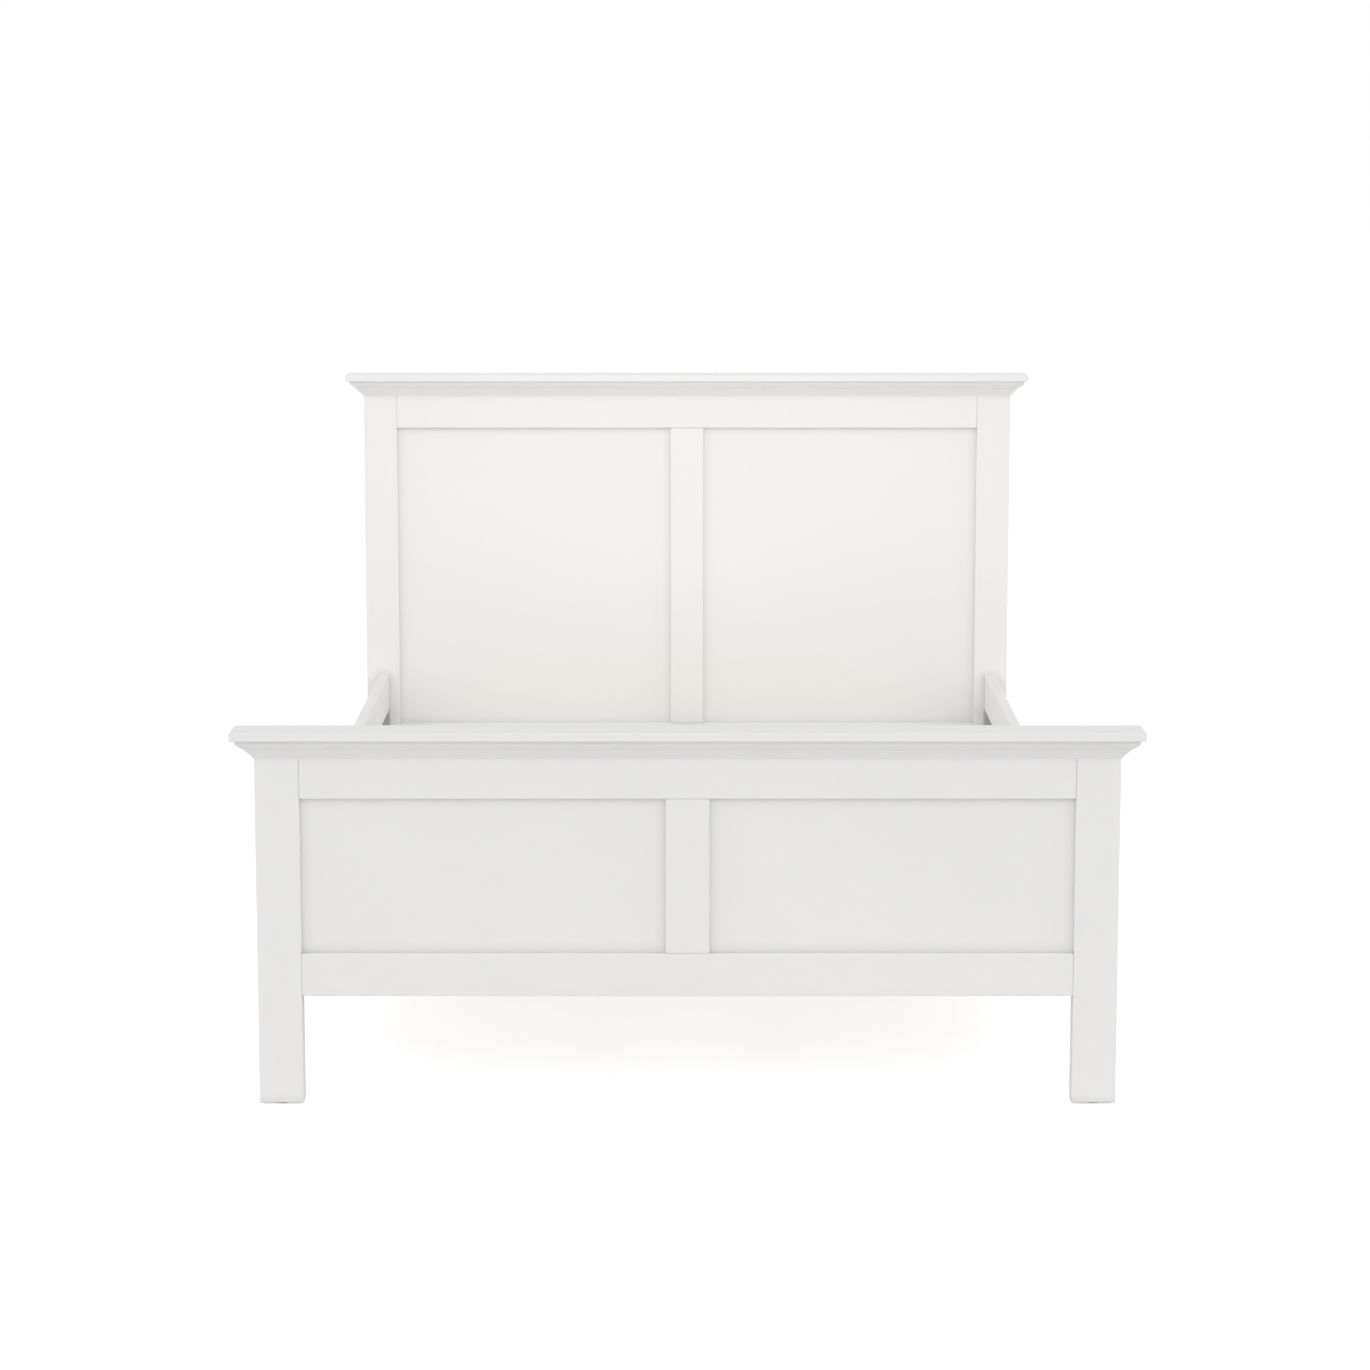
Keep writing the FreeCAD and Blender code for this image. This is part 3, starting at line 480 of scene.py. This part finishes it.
def stamp(target, pattern, matrix):
    """Add a copy of a pattern bmesh to another bmesh, moved by a matrix."""
    before = len(target.verts)
    copy = bpy.data.meshes.new("stamp")
    pattern.to_mesh(copy)
    target.from_mesh(copy)
    bpy.data.meshes.remove(copy)
    target.verts.ensure_lookup_table()
    bmesh.ops.transform(target, matrix=matrix, verts=target.verts[before:])


# %% [markdown]
# ## Screws
#
# The fittings are held by countersunk screws with a cross recess. The recess could be a boolean, but cuts
# through the flat head and one inset of the cross between them give clean, tapered faces. Their places
# are read from the packed node: each loose part of it is one screw, its long side is the screw's axis, and
# its head is at the end where it is widest.

# %% Find the screws in the packed node
def loose_parts(name):
    """The separate solids of a node, each as a list of its points."""
    shape = bmesh.new()
    shape.from_mesh(nodes[name].data)
    bmesh.ops.remove_doubles(shape, verts=shape.verts, dist=SAME)
    waiting = set(shape.verts)
    parts = []
    while waiting:
        edge_of_part = [waiting.pop()]
        part = []
        while edge_of_part:
            vert = edge_of_part.pop()
            part.append(vert.co.copy())
            for edge in vert.link_edges:
                other = edge.other_vert(vert)
                if other in waiting:
                    waiting.remove(other)
                    edge_of_part.append(other)
        parts.append(part)
    shape.free()
    return parts


def head_and_axis(part):
    """Middle of a screw's head and the direction of its shank."""
    low = Vector(min(point[axis] for point in part) for axis in range(3))
    high = Vector(max(point[axis] for point in part) for axis in range(3))
    longest = max(range(3), key=lambda axis: high[axis] - low[axis])
    middle = (low + high) / 2

    def width_at(end):
        return max((point - middle).length for point in part if abs(point[longest] - end) < CLOSE)

    axis = Vector((0, 0, 0))
    at_low_end = width_at(low[longest]) > width_at(high[longest])
    axis[longest] = 1 if at_low_end else -1
    middle[longest] = low[longest] if at_low_end else high[longest]
    return middle, axis


screw_places = [head_and_axis(part) for part in loose_parts("fitting_screws")]
print(len(screw_places), "screws")


# %% Model one screw and put one in each place
def make_screw():
    """A countersunk screw with a cross recess. Its head lies at the origin and it points along +Z."""
    head_radius, shank_radius, head_height, length = 4 * MM, 2 * MM, 1.6 * MM, 16 * MM
    tip_height, tip_share = 3 * MM, 0.12
    arm_half_width, arm_reach, recess_depth = 0.5 * MM, 2.1 * MM, 1.1 * MM
    shape = bmesh.new()
    bmesh.ops.create_circle(shape, cap_ends=True, segments=24, radius=head_radius)
    sides = bmesh.ops.extrude_edge_only(shape, edges=list(shape.edges))
    lower = [item for item in sides["geom"] if isinstance(item, bmesh.types.BMVert)]
    bmesh.ops.scale(shape, vec=(shank_radius / head_radius,) * 3, verts=lower)
    bmesh.ops.translate(shape, vec=(0, 0, head_height), verts=lower)
    lower_edges = [item for item in sides["geom"] if isinstance(item, bmesh.types.BMEdge)]
    for height, share in ((length - tip_height - head_height, 1.0), (tip_height, tip_share)):
        sides = bmesh.ops.extrude_edge_only(shape, edges=lower_edges)
        lower = [item for item in sides["geom"] if isinstance(item, bmesh.types.BMVert)]
        lower_edges = [item for item in sides["geom"] if isinstance(item, bmesh.types.BMEdge)]
        bmesh.ops.translate(shape, vec=(0, 0, height), verts=lower)
        bmesh.ops.scale(shape, vec=(share, share, 1), verts=lower)
    bmesh.ops.holes_fill(shape, edges=lower_edges, sides=0)
    for axis in (Vector((1, 0, 0)), Vector((0, 1, 0))):
        for reach in (arm_half_width, arm_reach):
            for sign in (1, -1):
                geometry = [face for face in shape.faces if face.calc_center_median().z < CLOSE]
                geometry += list({edge for face in geometry for edge in face.edges})
                geometry += [vert for vert in shape.verts if abs(vert.co.z) < CLOSE]
                bmesh.ops.bisect_plane(shape, geom=geometry, dist=SAME,
                                       plane_co=axis * reach * sign, plane_no=axis)

    def in_cross(face):
        centre = face.calc_center_median()
        near, far = sorted((abs(centre.x), abs(centre.y)))
        return centre.z < CLOSE and near < arm_half_width and far < arm_reach

    bmesh.ops.recalc_face_normals(shape, faces=shape.faces)
    cross = [face for face in shape.faces if in_cross(face)]
    bmesh.ops.inset_region(shape, faces=cross, thickness=0.15 * MM, depth=-recess_depth,
                           use_boundary=True, use_even_offset=True)
    return shape


screw = make_screw()
screws = bmesh.new()
for place, axis in screw_places:
    turn = axis.to_track_quat("Z", "Y").to_matrix().to_4x4()
    stamp(screws, screw, Matrix.Translation(place) @ turn)
screw.free()
add_piece("cross_recess_screws", screws, zinc, "frame", ["fitting_screws"])

# %% [markdown]
# ## Levelling feet
#
# Each centre leg ends in a levelling foot: a moulded pad, a hexagon for a spanner, and a stud whose thread
# turns in the leg's plug. The pad is a disc that is extruded, rounded and hollowed below. The thread is a
# ridge of four points that is spun round the stud and climbs one pitch a turn, so that each turn meets
# the one before it. Pad and stud are two pieces, because they are plastic and steel.

# %% Where the feet are
def foot_axis(name):
    low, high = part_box(name)
    return (low.x + high.x) / 2, (low.y + high.y) / 2, high.z


def top_faces(shape, height):
    """The level faces at a height."""
    return [face for face in shape.faces
            if abs(face.normal.z) > 0.99 and abs(face.calc_center_median().z - height) < CLOSE]


def raised_disc(radius, height, segments):
    """A closed prism over a round or regular outline, standing on the origin."""
    shape = bmesh.new()
    bmesh.ops.create_circle(shape, cap_ends=True, segments=segments, radius=radius)
    raised = bmesh.ops.extrude_face_region(shape, geom=list(shape.faces))["geom"]
    upper = [item for item in raised if isinstance(item, bmesh.types.BMVert)]
    bmesh.ops.translate(shape, vec=(0, 0, height), verts=upper)
    bmesh.ops.recalc_face_normals(shape, faces=shape.faces)
    return shape


def round_rim(shape, height, width, segments):
    """Round the edges of the level faces at a height."""
    rim = list({edge for face in top_faces(shape, height) for edge in face.edges})
    bmesh.ops.bevel(shape, geom=rim, offset=width, affect="EDGES", segments=segments,
                    profile=0.5, material=-1)


foot_names = ["levelling_foot_front", "levelling_foot_rear"]
print({name: [round(part, 4) for part in foot_axis(name)] for name in foot_names})


# %% The pad and the threaded stud
PAD_RADIUS, PAD_HEIGHT = 22 * MM, 8 * MM
HEX_RADIUS, HEX_HEIGHT = 9 * MM, 5 * MM
THREAD_PITCH, THREAD_DEPTH, THREAD_STEPS = 1.5 * MM, 0.8 * MM, 24
STUD_RADIUS = 4.9 * MM


def make_pad():
    shape = raised_disc(PAD_RADIUS, PAD_HEIGHT, 48)
    round_rim(shape, PAD_HEIGHT, 2.5 * MM, 4)
    round_rim(shape, 0.0, 0.6 * MM, 2)
    sole = top_faces(shape, 0.0)
    bmesh.ops.inset_region(shape, faces=sole, thickness=4 * MM, use_even_offset=True)
    bmesh.ops.inset_region(shape, faces=sole, thickness=0.5 * MM, depth=-1 * MM, use_even_offset=True)
    return shape


def make_stud(top):
    """The hexagon with the thread above it, from the pad's top to the end of the stud."""
    shape = raised_disc(HEX_RADIUS, HEX_HEIGHT, 6)
    round_rim(shape, HEX_HEIGHT, 0.6 * MM, 2)
    bmesh.ops.translate(shape, vec=(0, 0, PAD_HEIGHT), verts=shape.verts)
    foot_of_thread = PAD_HEIGHT + HEX_HEIGHT
    turns = int((top - PAD_HEIGHT - HEX_HEIGHT) / THREAD_PITCH) - 1
    thread = bmesh.new()
    ridge = [thread.verts.new((STUD_RADIUS - depth, 0, foot_of_thread + rise * THREAD_PITCH))
             for depth, rise in ((THREAD_DEPTH, 0.0), (0.0, 0.4), (0.0, 0.55), (THREAD_DEPTH, 1.0))]
    edges = [thread.edges.new(pair) for pair in zip(ridge, ridge[1:])]
    bmesh.ops.spin(thread, geom=ridge + edges, cent=(0, 0, 0), axis=(0, 0, 1), angle=2 * math.pi * turns,
                   steps=THREAD_STEPS * turns, dvec=(0, 0, THREAD_PITCH / THREAD_STEPS))
    bmesh.ops.remove_doubles(thread, verts=thread.verts, dist=CLOSE)
    open_edges = [edge for edge in thread.edges if len(edge.link_faces) == 1]
    bmesh.ops.holes_fill(thread, edges=open_edges, sides=0)
    stamp(shape, thread, Matrix.Identity(4))
    thread.free()
    return shape


for name in foot_names:
    x, y, stud_top = foot_axis(name)
    spot = Matrix.Translation((x, y, 0))
    pad = make_pad()
    bmesh.ops.transform(pad, matrix=spot, verts=pad.verts)
    add_piece(f"{name}_pad", pad, plastic, name, [name])
    stud = make_stud(stud_top)
    bmesh.ops.transform(stud, matrix=spot, verts=stud.verts)
    add_piece(f"{name}_stud", stud, zinc, name, [name])

# %% [markdown]
# ## Felt glides
#
# Under each post sits a round felt glide. It is die cut from thick felt, so its edge is soft but upright:
# a disc with both rims rounded. The middles of the four come from the loose parts of the packed node.

# %% The glides
GLIDE_RADIUS, GLIDE_HEIGHT = 13 * MM, 3 * MM


def middle_of(part):
    return Vector([(min(point[axis] for point in part) + max(point[axis] for point in part)) / 2
                   for axis in range(3)])


glide = raised_disc(GLIDE_RADIUS, GLIDE_HEIGHT, 32)
round_rim(glide, GLIDE_HEIGHT, 0.4 * MM, 2)
round_rim(glide, 0.0, 0.8 * MM, 3)
glides = bmesh.new()
for part in loose_parts("post_glides"):
    middle = middle_of(part)
    stamp(glides, glide, Matrix.Translation((middle.x, middle.y, 0)))
glide.free()
add_piece("felt_glides", glides, felt, "frame", ["post_glides"])

# %% [markdown]
# ## Webbing straps
#
# Two woven straps run under the slats and hold them at their distance when the base is lifted out. A strap
# is a flat bar with rounded edges that is cut into short lengths, so that it can hang a little between two
# slats. Two staples hold it to each slat. A staple is a round wire: pushed down, bent, pushed across, bent
# and pushed up again. Each push and bend leaves a wall across the wire, and these walls are taken out.

# %% The straps
STRAP_SAG = 1.2 * MM
STEPS_PER_SLAT = 10
slat_names = sorted(name for name in nodes if name.startswith("slat_") and "ledge" not in name)


def make_strap(low, high):
    shape = bmesh.new()
    bmesh.ops.create_cube(shape, size=1.0, matrix=Matrix.Translation((low + high) / 2)
                          @ Matrix.Diagonal((*(high - low), 1.0)))
    long_edges = [edge for edge in shape.edges if edge.calc_length() > 1.0]
    bmesh.ops.bevel(shape, geom=long_edges, offset=0.5 * MM, affect="EDGES", segments=3,
                    profile=0.5, material=-1)
    long_edges = [edge for edge in shape.edges if edge.calc_length() > 1.0]
    bmesh.ops.subdivide_edges(shape, edges=long_edges, cuts=len(slat_names) * STEPS_PER_SLAT,
                              use_grid_fill=True)
    for vert in shape.verts:
        from_slat = (vert.co.y - slat_low.y - SLAT_WIDTH / 2) / SLAT_PITCH
        vert.co.z -= STRAP_SAG * math.sin(math.pi * from_slat) ** 2
    return shape


for side in ("left", "right"):
    name = f"webbing_strap_{side}"
    strap = make_strap(*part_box(name))
    add_piece(f"woven_strap_{side}", strap, webbing, "slatted_base", [name])


# %% The staples
def make_staple():
    """A staple with its crown at the origin, across the strap, and its legs pointing up."""
    wire_radius, corner_radius, crown, leg = 0.5 * MM, 1.2 * MM, 7 * MM, 5 * MM
    shape = bmesh.new()
    bmesh.ops.create_circle(shape, cap_ends=True, segments=8, radius=wire_radius)
    bmesh.ops.translate(shape, vec=(-crown / 2 - corner_radius, 0, leg), verts=shape.verts)
    end = list(shape.faces)

    def push(direction):
        moved = bmesh.ops.extrude_face_region(shape, geom=end)["geom"]
        verts = [item for item in moved if isinstance(item, bmesh.types.BMVert)]
        bmesh.ops.translate(shape, vec=direction, verts=verts)
        return [item for item in moved if isinstance(item, bmesh.types.BMFace)]

    def bend(middle):
        geometry = bmesh.ops.spin(shape, geom=end, cent=middle, axis=(0, 1, 0), angle=-math.pi / 2, steps=4)
        return [item for item in geometry["geom_last"] if isinstance(item, bmesh.types.BMFace)]

    end = push((0, 0, corner_radius - leg))
    end = bend((-crown / 2, 0, corner_radius))
    end = push((crown, 0, 0))
    end = bend((crown / 2, 0, corner_radius))
    push((0, 0, leg - corner_radius))
    walls = [face for face in shape.faces if all(len(edge.link_faces) > 2 for edge in face.edges)]
    bmesh.ops.delete(shape, geom=walls, context="FACES_ONLY")
    return shape


STAPLES_ASIDE = 18 * MM
staple = make_staple()
staples = bmesh.new()
for side in ("left", "right"):
    low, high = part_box(f"webbing_strap_{side}")
    for name in slat_names:
        slat_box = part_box(name)
        for aside in (-STAPLES_ASIDE, STAPLES_ASIDE):
            spot = ((low.x + high.x) / 2, (slat_box[0].y + slat_box[1].y) / 2 + aside, low.z)
            stamp(staples, staple, Matrix.Translation(spot))
staple.free()
add_piece("strap_staples", staples, zinc, "slatted_base")

# %% [markdown]
# ## The studio
#
# The floor is pale and catches the shadow. The white round the bed is not light that falls on it: the
# world and the floor are brighter only for rays that come from the camera or off a shiny surface, so the
# bed itself is lit by soft lamps at a plain level.

# %% Floor and world
def shown_directly(shader):
    """1 for rays from the camera, off gloss or through glass, and 0 for light that falls on things."""
    camera = shader.node("LightPath", output="Is Camera Ray")
    glossy = shader.node("LightPath", output="Is Glossy Ray")
    through = shader.node("LightPath", output="Is Transmission Ray")
    return camera.larger(glossy).larger(through)


AMBIENT = 0.34
world = bpy.data.worlds.new("studio")
world.use_nodes = True
bpy.context.scene.world = world
sky = Shader(world.node_tree)
sky_strength = shown_directly(sky) * (1.0 - AMBIENT) + AMBIENT
background = sky.node("Background", {}, {"Color": (1.0, 1.0, 1.0, 1.0), "Strength": sky_strength})
sky.node("OutputWorld", {}, {"Surface": background})

FLOOR_REACH = 30.0
FLOOR_GLOW = 0.5
floor_material, floor_shader = new_finish("pale_floor")
matt = floor_shader.node("BsdfDiffuse", {}, {"Color": colour(239, 239, 240)})
glow = floor_shader.node("Emission", {}, {"Color": (1.0, 1.0, 1.0, 1.0),
                                          "Strength": shown_directly(floor_shader) * FLOOR_GLOW})
floor_surface = floor_shader.node("AddShader", {}, {0: matt, 1: glow})
floor_shader.node("OutputMaterial", {}, {"Surface": floor_surface})
floor_shape = bmesh.new()
bmesh.ops.create_grid(floor_shape, x_segments=1, y_segments=1, size=FLOOR_REACH)
floor_data = bpy.data.meshes.new("floor")
floor_shape.to_mesh(floor_data)
floor_shape.free()
floor_data.materials.append(floor_material)
floor = bpy.data.objects.new("floor", floor_data)
bpy.context.scene.collection.objects.link(floor)
print("floor", 2 * FLOOR_REACH, "m wide")

# %% [markdown]
# ## Lamps
#
# A sun lamp with a wide angle acts like a large softbox far away: its shadows are soft, and head board and
# foot board get the same light although they stand two metres apart. The strongest shines from the front
# and a little from above. Weaker ones from the sides and from behind keep the other sides readable. Light
# also comes up between the boards, as it does over a pale floor, and makes the head board and the underside
# of its moulding a little brighter. One small lamp behind the foot board gives that light, unseen by the
# camera.

# %% Place the lamps
SOFT_ANGLE = math.radians(60)


def add_soft_lamp(name, turn, height, strength):
    """A far softbox. Turn 0 is in front of the foot board and 90 is on the right, in degrees."""
    data = bpy.data.lights.new(name, "SUN")
    data.angle = SOFT_ANGLE
    data.energy = strength
    lamp = bpy.data.objects.new(name, data)
    flat = math.cos(math.radians(height))
    towards = Vector((math.sin(math.radians(turn)) * flat, -math.cos(math.radians(turn)) * flat,
                      math.sin(math.radians(height))))
    lamp.rotation_euler = towards.to_track_quat("Z", "Y").to_euler()
    bpy.context.scene.collection.objects.link(lamp)


add_soft_lamp("front_lamp", 0, 20, 1.04)
add_soft_lamp("left_lamp", -80, 30, 0.9)
add_soft_lamp("right_lamp", 80, 30, 0.9)
add_soft_lamp("back_lamp", 180, 20, 0.5)

HEAD_LAMP_PLACE = Vector((0.0, -0.9, 0.6))
HEAD_LAMP_AIM = Vector((0.0, 1.03, 0.95))
HEAD_LAMP_WIDTH, HEAD_LAMP_HEIGHT = 1.3, 0.2
head_lamp_data = bpy.data.lights.new("head_board_lamp", "AREA")
head_lamp_data.shape = "RECTANGLE"
head_lamp_data.size = HEAD_LAMP_WIDTH
head_lamp_data.size_y = HEAD_LAMP_HEIGHT
head_lamp_data.spread = math.radians(100)
head_lamp_data.energy = 2.0
head_lamp = bpy.data.objects.new("head_board_lamp", head_lamp_data)
head_lamp.location = HEAD_LAMP_PLACE
head_lamp.rotation_euler = (HEAD_LAMP_PLACE - HEAD_LAMP_AIM).to_track_quat("Z", "Y").to_euler()
head_lamp.visible_camera = False
bpy.context.scene.collection.objects.link(head_lamp)

# %% [markdown]
# ## Camera
#
# The camera stands almost seven metres from the middle of the bed, at the eye height of someone tall,
# and looks slightly down. Its lens is long, and a small shift of it keeps the posts almost upright.

# %% Place the camera
CAMERA_PLACE = (-0.0045, -6.6954, 1.8306)
CAMERA_TILT = 0.13801
FOCAL_PIXELS = 3313.8
IMAGE_PIXELS = 1370
LENS_AXIS_ROW = 521
camera_data = bpy.data.cameras.new("camera")
camera_data.sensor_width = 36.0
camera_data.lens = FOCAL_PIXELS / IMAGE_PIXELS * camera_data.sensor_width
camera_data.shift_y = (LENS_AXIS_ROW - IMAGE_PIXELS / 2) / IMAGE_PIXELS
camera = bpy.data.objects.new("camera", camera_data)
camera.location = CAMERA_PLACE
camera.rotation_euler = (math.pi / 2 - CAMERA_TILT, 0, 0)
bpy.context.scene.collection.objects.link(camera)
bpy.context.scene.camera = camera
print(f"lens {camera_data.lens:.1f} mm, shift {camera_data.shift_y:.3f}")

# %% [markdown]
# ## Finish
#
# The scene shows colours as they are.

# %% View settings
bpy.context.scene.view_settings.view_transform = "Standard"
